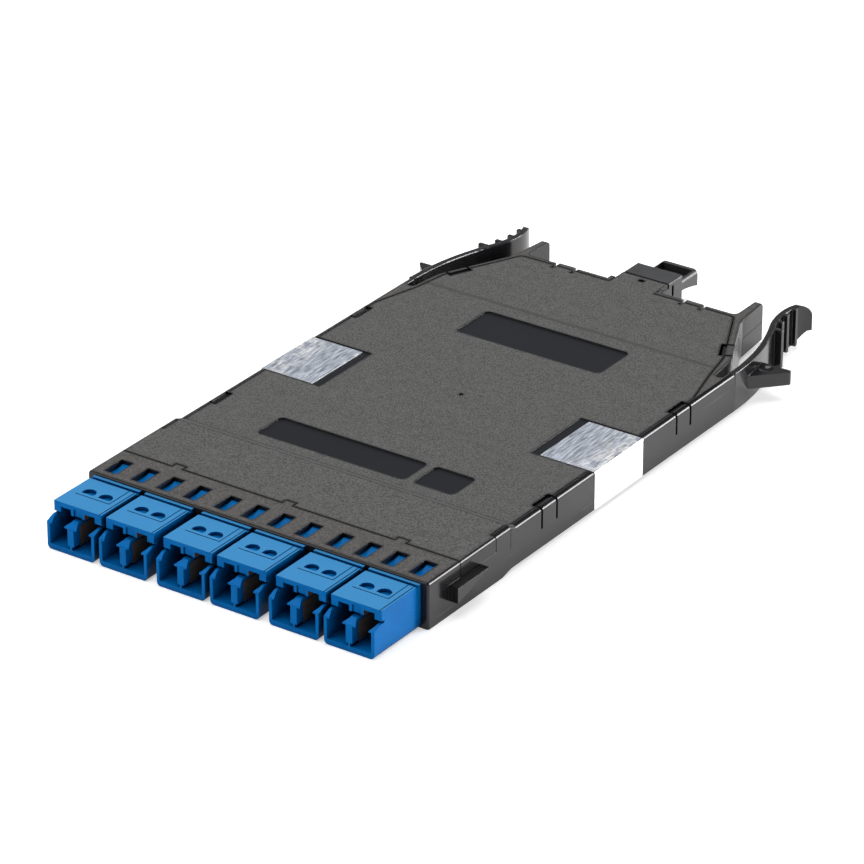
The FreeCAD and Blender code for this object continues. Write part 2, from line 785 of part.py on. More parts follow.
def lc_adapter():
    """Duplex adapter housing, centred on x = 0."""
    reach = adapter_width / 2
    roof_front = adapter_front + adapter_setback
    profile = [(adapter_front, 0), (0, 0), (0, adapter_top), (roof_front, adapter_top),
               (roof_front, roof_low), (roof_front + roof_groove_depth, roof_low),
               (roof_front + roof_groove_depth, adapter_ledge),
               (adapter_front + adapter_slant_length, adapter_ledge), (adapter_front, adapter_slant_low)]
    front = side_prism(profile, -reach, reach)
    front = rounded(front, adapter_corner,
                    lambda e, m: runs_along(e, 1) and abs(m.x) > reach - 0.1 and m.z < 0.1)
    inner = box(-reach + shoulder, reach - shoulder, -overlap, adapter_rear, inner_low, inner_top)
    recess = box(-roof_recess_width / 2, roof_recess_width / 2, roof_front - 1,
                 roof_front + roof_recess_depth, roof_low, roof_recess_top)
    body = front.fuse(inner).cut(adapter_ports() + adapter_top_cuts() + [recess])
    trims = []
    for side in (-1, 1):
        x0, x1 = sorted((side * divider_foot / 2, side * (port_pitch - port_width) / 2))
        trims.append(box(x0, x1, adapter_front - 1, roof_front, port_low, port_low + divider_foot_height))
    teeth = []
    rear = window_front + window_length - fit_gap
    for side in (-1, 1):
        x = side * window_spread
        teeth.append(side_prism([(rear - tooth_length, inner_top), (rear, inner_top),
                                 (rear, inner_top + tooth_height)], x - tooth_width / 2, x + tooth_width / 2))
    return body.cut(trims).multiFuse(adapter_lips(reach) + teeth).removeSplitter()


def split_sleeve():
    """Slit ceramic tube that lines up two ferrules, around x = 0."""
    y0 = mating_y - sleeve_length / 2
    tube = pin_y(0, optic_z, sleeve_outer, y0, y0 + sleeve_length)
    tube = tube.cut(pin_y(0, optic_z, sleeve_bore, y0 - 1, y0 + sleeve_length + 1))
    return tube.cut(box(-sleeve_slit / 2, sleeve_slit / 2, y0 - 1, y0 + sleeve_length + 1,
                        optic_z, optic_z + 2 * sleeve_outer))


def sleeve_holder(with_cheek):
    """Plate and tube that carry the split sleeve in one port; one of a pair lines the divider."""
    reach = port_width / 2 - slide_gap
    y0 = mating_y - sleeve_length / 2 - holder_lip
    y1 = mating_y + sleeve_length / 2
    plate_rear = mating_y + holder_plate / 2
    body = box(-reach, reach, mating_y - holder_plate / 2, plate_rear,
               port_low + slide_gap, port_low + port_height - slide_gap)
    if with_cheek:
        body = body.fuse(box(-reach - cheek_thickness, -reach, cheek_front, plate_rear,
                             port_low + cheek_margin, adapter_slant_low))
    body = body.fuse(pin_y(0, optic_z, holder_outer, y0, y1))
    body = body.cut(pin_y(0, optic_z, holder_bore, y0 + holder_lip, y1 + 1))
    return body.cut(pin_y(0, optic_z, holder_lip_bore, y0 - 1, y0 + 1)).removeSplitter()


def inner_ferrule():
    return pin_y(0, optic_z, ferrule_radius, mating_y + slide_gap, plug_front)


def inner_plug():
    """Short plug seated in the back of a port, with its latch and tapered boot."""
    reach = plug_size / 2
    body = box(-reach, reach, plug_front, plug_rear, optic_z - reach, optic_z + reach)
    top = optic_z + reach
    start = plug_front + plug_latch_start
    latch = side_prism([(start, top), (start + plug_latch_length, top),
                        (start + plug_latch_length, top + plug_latch_height)],
                       -plug_latch_width / 2, plug_latch_width / 2)
    boot = Part.makeCone(boot_root_radius, boot_tip_radius, boot_end - plug_rear,
                         FreeCAD.Vector(0, plug_rear, optic_z), FreeCAD.Vector(0, 1, 0))
    return body.multiFuse([latch, boot]).removeSplitter()


def level_tube(start, heading, legs, radius):
    """Round tube in a level plane. A leg is a straight length, or a bend radius with its turn in degrees."""
    point, angle = start, heading
    parts = []
    for leg in legs:
        ahead = FreeCAD.Vector(math.cos(math.radians(angle)), math.sin(math.radians(angle)), 0)
        if isinstance(leg, tuple):
            bend, turn = leg
            sign = 1 if turn > 0 else -1
            centre = point + FreeCAD.Vector(-ahead.y, ahead.x, 0) * (sign * bend)
            disc = Part.Face(Part.Wire([Part.Circle(point, ahead, radius).toShape()]))
            parts.append(disc.revolve(centre, FreeCAD.Vector(0, 0, sign), abs(turn)))
            point = centre + FreeCAD.Rotation(FreeCAD.Vector(0, 0, 1), turn).multVec(point - centre)
            angle += turn
        else:
            parts.append(Part.makeCylinder(radius, leg, point, ahead))
            point = point + ahead * leg
    return parts[0].multiFuse(parts[1:]).removeSplitter() if len(parts) > 1 else parts[0]


def fibre_tail(port_x, order):
    """Buffered fibre from a plug's boot through two equal bends to the side of the coil."""
    side = 1 if port_x > 0 else -1
    shift = side * (coil_radius + coil_section + tail_clearance + tail_pitch * order) - port_x
    length = tail_turn_end - boot_end - tail_straight
    bend = (shift ** 2 + length ** 2) / (4 * abs(shift))
    turn = math.degrees(math.asin(length / (2 * bend)))
    sign = 1 if shift > 0 else -1
    legs = [tail_straight, (bend, -sign * turn), (bend, sign * turn), tail_end - tail_turn_end]
    return level_tube(FreeCAD.Vector(port_x, boot_end, optic_z), 90.0, legs, tail_radius)


def fibre_coil():
    """Stored turns of fibre as one ring, with the bundle that leads in from the breakout."""
    ring = Part.makeTorus(coil_radius, coil_section, FreeCAD.Vector(0, coil_centre_y, coil_z))
    start_y = breakout_rear - breakout_length
    drop = start_y - coil_centre_y
    bend = (multi_x ** 2 + drop ** 2 - coil_radius ** 2) / (2 * (coil_radius - multi_x))
    turn = math.degrees(math.atan2(drop, multi_x + bend))
    lead = level_tube(FreeCAD.Vector(multi_x, start_y, coil_z), -90.0, [(bend, turn)], lead_section)
    return ring.fuse(lead).removeSplitter()


def multi_adapter():
    """Rear adapter: a slim body under the cover, a flange held by the tray and a full-height head outside."""
    reach = multi_width / 2
    body = box(multi_x - reach, multi_x + reach, multi_front, multi_shoulder + overlap,
               floor_low + slide_gap, seat_rear - slide_gap)
    head = box(multi_x - reach, multi_x + reach, multi_shoulder, multi_rear, bottom_step, rear_top)
    head = rounded(head, multi_head_round, lambda e, m: runs_along(e, 1) or m.y > multi_rear - 0.1)
    flange = box(multi_x - reach - multi_flange_reach, multi_x + reach + multi_flange_reach, multi_flange_y,
                 multi_flange_y + multi_flange_length, floor_low + slide_gap, seat_rear - slide_gap)
    adapter = body.multiFuse([head, flange])
    wide, tall = multi_port_width / 2, multi_port_height / 2
    waist_w, waist_h = multi_waist_width / 2, multi_waist_height / 2
    cuts = [box(multi_x - wide, multi_x + wide, multi_rear - multi_port_depth, multi_rear + 1,
                multi_z - tall, multi_z + tall),
            box(multi_x - wide, multi_x + wide, multi_front - 1, multi_plug_nose + 1,
                multi_z - tall, multi_z + tall),
            box(multi_x - waist_w, multi_x + waist_w, multi_front, multi_rear,
                multi_z - waist_h, multi_z + waist_h)]
    for side in (-1, 1):
        x0, x1 = sorted((side * (reach - multi_groove_depth), side * (reach + 1)))
        cuts.append(box(multi_x + x0, multi_x + x1, multi_groove_y - multi_groove_width / 2,
                        multi_groove_y + multi_groove_width / 2,
                        rear_top - multi_groove_drop - multi_groove_height, rear_top - multi_groove_drop))
    return adapter.cut(cuts).removeSplitter()


def dust_cap():
    """Push-in cap: a hollow neck with an arched underside and an upright plate to pull at."""
    wide = multi_port_width / 2 - fit_gap
    tall = multi_port_height / 2 - fit_gap
    plug = box(multi_x - wide, multi_x + wide, multi_rear - cap_plug_depth, multi_rear + overlap,
               multi_z - tall, multi_z + tall)
    grip_half = cap_grip_width / 2
    x0 = multi_x - grip_half
    low, high = FreeCAD.Vector(x0, cap_rear, cap_grip_low), FreeCAD.Vector(x0, cap_rear, cap_grip_top)
    neck = FreeCAD.Vector(x0, multi_rear, cap_neck_low)
    neck_top = FreeCAD.Vector(x0, multi_rear, cap_grip_top)
    middle = (low + neck) / 2 + FreeCAD.Vector(0, 0, cap_arch)
    edges = [Part.Arc(neck, middle, low).toShape()]
    for first, second in ((low, high), (high, neck_top), (neck_top, neck)):
        edges.append(Part.LineSegment(first, second).toShape())
    grip = Part.Face(Part.Wire(edges)).extrude(FreeCAD.Vector(cap_grip_width, 0, 0))
    grip = rounded(grip, cap_top_round, lambda e, m: runs_along(e, 1) and m.z > cap_grip_top - 0.1)
    pocket = box(x0 + cap_wall, x0 + cap_grip_width - cap_wall, multi_rear + cap_wall,
                 cap_rear - cap_plate, cap_grip_top - cap_pocket_depth, cap_grip_top + 1)
    return plug.fuse(grip).cut(pocket).removeSplitter()


def array_ferrule():
    nose = multi_plug_nose + array_ferrule_reach
    wide, tall = array_ferrule_width / 2, array_ferrule_height / 2
    return box(multi_x - wide, multi_x + wide, nose - array_ferrule_length, nose,
               multi_z - tall, multi_z + tall)


def multi_plug():
    """Multi-fibre plug inside the cassette: nose in the adapter, grip, and a boot on the ribbon."""
    wide = multi_port_width / 2 - fit_gap
    tall = multi_port_height / 2 - fit_gap
    nose = box(multi_x - wide, multi_x + wide, multi_front - overlap, multi_plug_nose,
               multi_z - tall, multi_z + tall)
    grip_half = multi_plug_grip_width / 2
    grip = box(multi_x - grip_half, multi_x + grip_half, multi_plug_front, multi_front - fit_gap,
               floor_low + multi_plug_room, seat_rear - multi_plug_room)
    boot_half = multi_boot_width / 2
    boot = box(multi_x - boot_half, multi_x + boot_half, multi_boot_end, multi_plug_front,
               multi_z - multi_boot_height / 2, multi_z + multi_boot_height / 2)
    body = nose.multiFuse([grip, boot])
    room_w = array_ferrule_width / 2 + slide_gap
    room_h = array_ferrule_height / 2 + slide_gap
    start = multi_plug_nose + array_ferrule_reach - array_ferrule_length
    return body.cut(box(multi_x - room_w, multi_x + room_w, start, multi_plug_nose + 1,
                        multi_z - room_h, multi_z + room_h)).removeSplitter()


def breakout():
    """Block where the ribbon turns into single fibres."""
    reach = breakout_width / 2
    return rounded_plate(multi_x - reach, multi_x + reach, breakout_rear - breakout_length, breakout_rear,
                         floor_low, floor_low + breakout_height, breakout_round)


def ribbon():
    return box(multi_x - ribbon_width / 2, multi_x + ribbon_width / 2, breakout_rear, multi_boot_end,
               multi_z - ribbon_height / 2, multi_z + ribbon_height / 2)


def tamper_seal():
    """Foil seal stuck over the joint: it lies in the recess of the cover and folds down the side wall."""
    y0, y1 = seal_front, seal_front + seal_length
    low = rear_top - seal_recess_depth
    inner_x = half - seal_width
    seal = None
    outside = (half + seal_thickness, low + seal_thickness, seal_fold + seal_thickness, 0)
    inside = (half, low, seal_fold, 1)
    for reach, top, fold, margin in (outside, inside):
        block = box(inner_x - margin, reach, y0 - margin, y1 + margin, bottom_step + fit_gap - margin, top)
        block = rounded(block, fold, lambda e, m: runs_along(e, 1) and m.x > half - 0.1 and m.z > low - 0.1)
        seal = seal.cut(block) if seal else block
    return seal


def export(name, shapes):
    """Writes one node; a node may hold several separate solids."""
    moved = []
    for shape in shapes:
        copy = shape.copy()
        copy.translate(FreeCAD.Vector(0, whole_shift, 0))
        moved.append(copy)
    whole = moved[0] if len(moved) == 1 else Part.makeCompound(moved)
    whole.exportStep(os.path.join("parts", name + ".step"))
    print(name, len(whole.Solids), "solids", round(whole.Volume, 1), "mm3")


def at_x(shape, x):
    copy = shape.copy()
    copy.translate(FreeCAD.Vector(x, 0, 0))
    return copy


def main():
    os.makedirs("parts", exist_ok=True)
    export("base_tray", [base_tray()])
    export("top_cover", [top_cover()])
    lever = release_lever()
    export("release_lever_right", [lever])
    export("release_lever_left", [mirrored(lever)])
    adapter, sleeve = lc_adapter(), split_sleeve()
    holders = [sleeve_holder(False), sleeve_holder(True)]
    plug, ferrule = inner_plug(), inner_ferrule()
    ports = port_centres()
    for number, x in enumerate(adapter_centres(), start=1):
        pair = ports[2 * number - 2:2 * number]
        export(f"lc_adapter_{number}", [at_x(adapter, x)])
        export(f"sleeve_holders_{number}", [at_x(holder, p) for holder, p in zip(holders, pair)])
        export(f"split_sleeves_{number}", [at_x(sleeve, p) for p in pair])
        export(f"inner_ferrules_{number}", [at_x(ferrule, p) for p in pair])
        tails = []
        for p in pair:
            rank = ports.index(p)
            tails.append(fibre_tail(p, rank - 6 if p > 0 else 5 - rank))
        export(f"fibre_tails_{number}", tails)
    for number, x in enumerate(ports, start=1):
        export(f"inner_plug_{number}", [at_x(plug, x)])
    export("fibre_coil", [fibre_coil()])
    export("breakout_block", [breakout()])
    export("fibre_ribbon", [ribbon()])
    export("multi_plug", [multi_plug()])
    export("array_ferrule", [array_ferrule()])
    export("multi_adapter", [multi_adapter()])
    export("dust_cap", [dust_cap()])
    seal = tamper_seal()
    export("tamper_seal_right", [seal])
    export("tamper_seal_left", [mirrored(seal)])


main()
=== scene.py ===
import bpy
import math
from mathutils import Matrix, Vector


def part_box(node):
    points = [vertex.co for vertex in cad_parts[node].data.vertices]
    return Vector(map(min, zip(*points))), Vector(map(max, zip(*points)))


# Dresses the fibre cassette's pieces in their finishes and sets up its studio. Lengths are in millimetres
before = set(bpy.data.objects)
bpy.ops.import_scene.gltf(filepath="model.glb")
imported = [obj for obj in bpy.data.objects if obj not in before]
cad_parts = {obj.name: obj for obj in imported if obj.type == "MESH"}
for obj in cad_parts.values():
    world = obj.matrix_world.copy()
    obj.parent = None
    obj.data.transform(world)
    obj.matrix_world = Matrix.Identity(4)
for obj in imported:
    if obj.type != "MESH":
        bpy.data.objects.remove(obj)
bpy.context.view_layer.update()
mm = 0.001
beyond = 1000.0              # mm; past every piece, for a range that is open to one side
noiseRange = (0.3, 0.7)      # nearly all values of a noise lie between these two
print("pieces to dress:", len(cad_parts))

cameraView = {
    "place": (532.0, -775.9, 481.0),   # mm; in front of the part, to its right and above
    "azimuth": 34.753,                 # degrees
    "elevation": 26.999,               # degrees
    "lens": 202.7,                     # mm
    "sensor": 36.0,                    # mm wide
    "clip": (50.0, 20000.0),           # mm
}

studio = {
    # height of a sky direction and how bright the sky is there: white paper low down, a dim room above
    "sky": ((0.0, 1.0), (0.2, 0.95), (0.4, 0.3), (0.55, 0.08), (1.0, 0.06)),
    "skyColour": "#fafcff",
    "backdrop": "#ffffff",             # what the camera sees behind the floor, and the floor's glow
    "floorColour": "#f4f4f4",
    "floorGlow": 0.46,                 # lifts the lit paper to white, for the camera and in reflections
    "floorSize": 6000.0,               # mm
    "floorDrop": 0.05,                 # mm below the underside
    "backLight": {"at": (-420, 330, 850), "size": (700, 300), "watts": 2.0},
    "topLight": {"at": (-120, 0, 950), "size": (760, 760), "watts": 6.4},
    "frontLight": {"at": (-500, -700, 350), "size": (500, 500), "watts": 1.6},
    # low down behind the part: it draws the bright lines along the edges
    "rimLight": {"at": (700, 780, 220), "size": (420, 420), "watts": 11.0},
}


# sRGB hex to linear, with alpha
def toLinear(colour):
    parts = [int(colour[i:i + 2], 16) / 255 for i in (1, 3, 5)]
    return [c / 12.92 if c <= 0.04045 else ((c + 0.055) / 1.055) ** 2.4 for c in parts] + [1.0]


# A node with its settings, by property or socket name or number, and its links
def addNode(tree, kind, settings=None, links=None):
    node = tree.nodes.new(kind)
    for name, value in (settings or {}).items():
        if isinstance(name, str) and hasattr(node, name):
            setattr(node, name, value)
        else:
            node.inputs[name].default_value = value
    for name, source in (links or {}).items():
        tree.links.new(source, node.inputs[name])
    return node


def makeCamera():
    data = bpy.data.cameras.new("camera")
    data.sensor_width = cameraView["sensor"]
    data.lens = cameraView["lens"]
    data.clip_start, data.clip_end = [c * mm for c in cameraView["clip"]]
    camera = bpy.data.objects.new("camera", data)
    bpy.context.scene.collection.objects.link(camera)
    camera.location = Vector(cameraView["place"]) * mm
    turn, rise = math.radians(cameraView["azimuth"]), math.radians(cameraView["elevation"])
    back = Vector((math.sin(turn) * math.cos(rise), -math.cos(turn) * math.cos(rise), math.sin(rise)))
    camera.rotation_mode = "QUATERNION"
    camera.rotation_quaternion = (-back).to_track_quat("-Z", "Y")
    bpy.context.scene.camera = camera


# A rectangular lamp that looks at the part's middle
def makeLamp(name, values):
    data = bpy.data.lights.new(name, "AREA")
    data.shape = "RECTANGLE"
    data.size, data.size_y = [s * mm for s in values["size"]]
    data.energy = values["watts"]
    lamp = bpy.data.objects.new(name, data)
    bpy.context.scene.collection.objects.link(lamp)
    lamp.location = Vector(values["at"]) * mm
    lamp.rotation_mode = "QUATERNION"
    lamp.rotation_quaternion = (-lamp.location).to_track_quat("-Z", "Y")


# The graded sky lights the part, and the camera sees a white backdrop in its place
def makeSky():
    world = bpy.data.worlds.new("sky")
    bpy.context.scene.world = world
    world.use_nodes = True
    tree = world.node_tree
    tree.nodes.clear()
    way = addNode(tree, "ShaderNodeTexCoord").outputs["Generated"]
    height = addNode(tree, "ShaderNodeSeparateXYZ", {}, {0: way}).outputs["Z"]
    ramp = addNode(tree, "ShaderNodeValToRGB", {}, {0: height})
    stops = ramp.color_ramp.elements
    while len(stops) < len(studio["sky"]):
        stops.new(0.5)
    tint = toLinear(studio["skyColour"])
    for stop, (place, light) in zip(stops, studio["sky"]):
        stop.position = place
        stop.color = [light * c for c in tint[:3]] + [1.0]
    path = addNode(tree, "ShaderNodeLightPath")
    seen = addNode(tree, "ShaderNodeMath", {"operation": "MAXIMUM"},
                   {0: path.outputs["Is Camera Ray"], 1: path.outputs["Is Transmission Ray"]})
    light = addNode(tree, "ShaderNodeBackground", {"Strength": 1.0}, {"Color": ramp.outputs[0]})
    white = addNode(tree, "ShaderNodeBackground", {"Color": toLinear(studio["backdrop"]), "Strength": 1.0})
    mix = addNode(tree, "ShaderNodeMixShader", {},
                  {0: seen.outputs[0], 1: light.outputs[0], 2: white.outputs[0]})
    addNode(tree, "ShaderNodeOutputWorld", {}, {"Surface": mix.outputs[0]})


# A wide sheet of matt paper, which keeps the part's shadow
def makeFloor():
    bpy.ops.object.select_all(action="DESELECT")
    bpy.ops.mesh.primitive_plane_add(size=studio["floorSize"] * mm,
                                     location=(0, 0, -studio["floorDrop"] * mm))
    floor = bpy.context.object
    floor.name = "floor"
    paper = bpy.data.materials.new("paper sweep, matt white")
    paper.use_nodes = True
    tree = paper.node_tree
    tree.nodes.clear()
    path = addNode(tree, "ShaderNodeLightPath")
    matt = addNode(tree, "ShaderNodeBsdfDiffuse", {"Color": toLinear(studio["floorColour"])})
    glow = addNode(tree, "ShaderNodeEmission",
                   {"Color": toLinear(studio["backdrop"]), "Strength": studio["floorGlow"]})
    both = addNode(tree, "ShaderNodeAddShader", {}, {0: matt.outputs[0], 1: glow.outputs[0]})
    seen = addNode(tree, "ShaderNodeMath", {"operation": "MAXIMUM"},
                   {0: path.outputs["Is Camera Ray"], 1: path.outputs["Is Glossy Ray"]})
    mix = addNode(tree, "ShaderNodeMixShader", {},
                  {0: seen.outputs[0], 1: matt.outputs[0], 2: both.outputs[0]})
    addNode(tree, "ShaderNodeOutputMaterial", {}, {"Surface": mix.outputs[0]})
    floor.data.materials.append(paper)


makeCamera()
makeSky()
makeFloor()
for lampName in ("backLight", "topLight", "frontLight", "rimLight"):
    makeLamp(lampName, studio[lampName])
bpy.context.scene.view_settings.view_transform = "Standard"
print("camera, lamps and floor are set")


def newFinish(name):
    material = bpy.data.materials.new(name)
    material.use_nodes = True
    tree = material.node_tree
    tree.nodes.clear()
    shader = addNode(tree, "ShaderNodeBsdfPrincipled")
    addNode(tree, "ShaderNodeOutputMaterial", {}, {"Surface": shader.outputs[0]})
    place = addNode(tree, "ShaderNodeTexCoord")
    return material, tree, shader, place


# Noise whose lumps are about grain millimetres across
def addGrain(tree, place, grain, detail=3.0):
    return addNode(tree, "ShaderNodeTexNoise",
                   {"Scale": 1 / mm / grain, "Detail": detail, "Roughness": 0.6},
                   {"Vector": place.outputs["Object"]}).outputs[0]


# Noise drawn out into streaks: their width in millimetres, width over length, and turn in degrees
def addStreaks(tree, place, width, ratio, turn, detail):
    drawn = addNode(tree, "ShaderNodeMapping",
                    {"Rotation": (0, 0, math.radians(turn)), "Scale": (1.0, ratio, 1.0)},
                    {"Vector": place.outputs["Object"]})
    return addNode(tree, "ShaderNodeTexNoise", {"Scale": 1 / mm / width, "Detail": detail},
                   {"Vector": drawn.outputs[0]}).outputs[0]


# Each of the two colours is a hex value or the output of a node
def mixColours(tree, factor, low, high):
    settings, links = {"data_type": "RGBA"}, {0: factor}
    for socket, colour in ((6, low), (7, high)):
        if isinstance(colour, str):
            settings[socket] = toLinear(colour)
        else:
            links[socket] = colour
    return addNode(tree, "ShaderNodeMix", settings, links).outputs[2]


# Maps the source from low..high to toLow..toHigh
def spread(tree, source, low, high, toLow=0.0, toHigh=1.0):
    return addNode(tree, "ShaderNodeMapRange",
                   {1: low, 2: high, 3: toLow, 4: toHigh}, {0: source}).outputs[0]


# A sum or other operation on two values, each a number or the output of a node
def combine(tree, operation, first, second):
    links, settings = {}, {"operation": operation}
    for socket, value in enumerate((first, second)):
        (settings if isinstance(value, (int, float)) else links)[socket] = value
    return addNode(tree, "ShaderNodeMath", settings, links).outputs[0]


# 1 on faces that look up, 0 on upright ones
def facingUp(tree, place):
    leaning, level = 0.85, 0.97   # the upward part of the normal
    normal = addNode(tree, "ShaderNodeSeparateXYZ", {}, {0: place.outputs["Normal"]})
    return spread(tree, normal.outputs["Z"], leaning, level)


# 1 where one coordinate lies between two places in millimetres
def between(tree, place, axis, low, high):
    spot = addNode(tree, "ShaderNodeSeparateXYZ", {}, {0: place.outputs["Object"]}).outputs[axis]
    above = combine(tree, "GREATER_THAN", spot, low * mm)
    below = combine(tree, "LESS_THAN", spot, high * mm)
    return combine(tree, "MULTIPLY", above, below)


# Rounds every sharp edge by a small radius and lays the grain's relief on top
def addRelief(tree, shader, height, depth, edge):
    soft = addNode(tree, "ShaderNodeBevel", {"samples": 4, "Radius": edge * mm})
    bump = addNode(tree, "ShaderNodeBump", {"Strength": 1.0, "Distance": depth * mm},
                   {"Height": height, "Normal": soft.outputs[0]})
    tree.links.new(bump.outputs[0], shader.inputs["Normal"])


# Paints shade into the colour in joints, slots and deep openings: down to the share least where a place is
# as closed in as closed says, and not at all where it is as open as full
def paintCornerShade(tree, colour, reach, least, full=0.85, closed=0.2):
    around = addNode(tree, "ShaderNodeAmbientOcclusion", {"samples": 6, "Distance": reach * mm})
    shade = spread(tree, around.outputs["AO"], closed, full, least, 1.0)
    grey = addNode(tree, "ShaderNodeCombineColor", {}, {0: shade, 1: shade, 2: shade}).outputs[0]
    return addNode(tree, "ShaderNodeMix", {"data_type": "RGBA", "blend_type": "MULTIPLY", 0: 1.0},
                   {6: colour, 7: grey}).outputs[2]


# 1 within reach millimetres of a sharp edge
def nearEdge(tree, reach):
    turned, unturned = 0.985, 0.9995   # how closely the rounded normal follows the face's own
    soft = addNode(tree, "ShaderNodeBevel", {"samples": 6, "Radius": reach * mm})
    true = addNode(tree, "ShaderNodeNewGeometry")
    same = addNode(tree, "ShaderNodeVectorMath", {"operation": "DOT_PRODUCT"},
                   {0: soft.outputs[0], 1: true.outputs["Normal"]}).outputs["Value"]
    return spread(tree, same, turned, unturned, 1.0, 0.0)


cover = {
    "grainAndSheenDark": "#302f2e",
    "grainAndSheenLight": "#646362",
    "grain": 0.32,             # mm; the real spark texture is about 0.1 mm, drawn coarser so that it shows
    "grainSpread": (0.36, 0.64),   # noise values that get the dark and the light colour
    "mottle": 2.4,             # mm
    "mottleShare": 0.1,
    "depth": 0.035,            # mm
    "side": "#1a191b",
    "sideLight": "#1a191b",
    "cloud": 28.0,             # mm
    "rub": 0.5,                # mm wide; faint rub marks along the smooth faces
    "rubRatio": 0.02,          # width over length
    "rubSpread": (0.66, 0.76),
    "rubShade": 0.6,
    "rubColour": "#565558",
    "recess": "#12141a",
    "recessTop": 9.9,          # mm above the underside; lower faces that look up are polished
    "scuffLine": (43.8, 45.0),     # mm; a faint line of darker specks across the cover
    "scuffSpread": (0.5, 0.54),
    "scuffShade": 0.7,
    "folds": ((-43.6, -43.3), (-41.5, -41.3)),   # mm; painted shade lines at both ends of the slope behind the low front part
    "slopeShadeStrength": 0.3,
    "edgeShadeReach": 0.8,           # mm; how far the painted shade along joints and other sharp edges reaches in from the edge
    "edgeShadeStrength": 0.95,
    "edgeShadeColour": "#070707",
    "corner": 1.3,             # mm; reach of the painted shade in joints and slots
    "cornerShade": 0.05,
    "specular": 0.3,
    "recessSpecular": 0.14,
    "topRoughness": 0.62,
    "sideRoughness": 0.19,
    "recessRoughness": 0.35,
    "roughnessChange": 0.03,
    "edge": 0.12,              # mm
}

tray = {
    "grainAndSheenDark": "#2b2a29",
    "grainAndSheenLight": "#605d5a",
    "grain": 0.32,             # mm, coarser than the real one, as on the cover
    "grainSpread": (0.36, 0.64),
    "mottle": 2.4,             # mm
    "mottleShare": 0.1,
    "grainLow": 9.85,          # mm; faces that look up below this are polished
    "grainSide": 42.5,         # mm from the middle; the tops of the side walls beyond it are polished
    "grainFront": -60.0,       # mm; but in front of this, on the bezel, the grain goes on to the sides
    "depth": 0.035,            # mm
    "side": "#19181a",
    "sideLight": "#212022",
    "cloud": 14.0,             # mm
    "rub": 0.5,                # mm wide
    "rubRatio": 0.02,
    "rubSpread": (0.66, 0.76),
    "rubShade": 0.6,
    "rubColour": "#565558",
    "partingHeight": 5.4,      # mm; the mould's parting line on the outer faces of the fins
    "partingFront": 68.6,      # mm; there it turns down
    "partingSide": 29.2,       # mm from the middle; none nearer than this
    "partingWidth": 0.14,      # mm
    "partingShade": 0.85,
    "partingColour": "#030303",
    "edgeShadeReach": 0.8,           # mm
    "edgeShadeStrength": 0.95,
    "edgeShadeColour": "#070707",
    "corner": 1.3,             # mm
    "cornerShade": 0.05,
    "specular": 0.33,
    "topRoughness": 0.6,
    "sideRoughness": 0.19,
    "roughnessChange": 0.03,
    "edge": 0.12,              # mm
}


# The line that the two halves of the mould leave: level along a fin, then straight down at the fin's root
def partingLine(tree, place, values):
    high, front, thin = values["partingHeight"], values["partingFront"], values["partingWidth"]
    level = combine(tree, "MULTIPLY", between(tree, place, "Z", high - thin, high),
                    between(tree, place, "Y", front, beyond))
    upright = combine(tree, "MULTIPLY", between(tree, place, "Y", front - thin, front),
                      between(tree, place, "Z", 0.0, high))
    line = combine(tree, "MAXIMUM", level, upright)
    middle = between(tree, place, "X", -values["partingSide"], values["partingSide"])
    return combine(tree, "MULTIPLY", line, spread(tree, middle, 0.0, 1.0, values["partingShade"], 0.0))
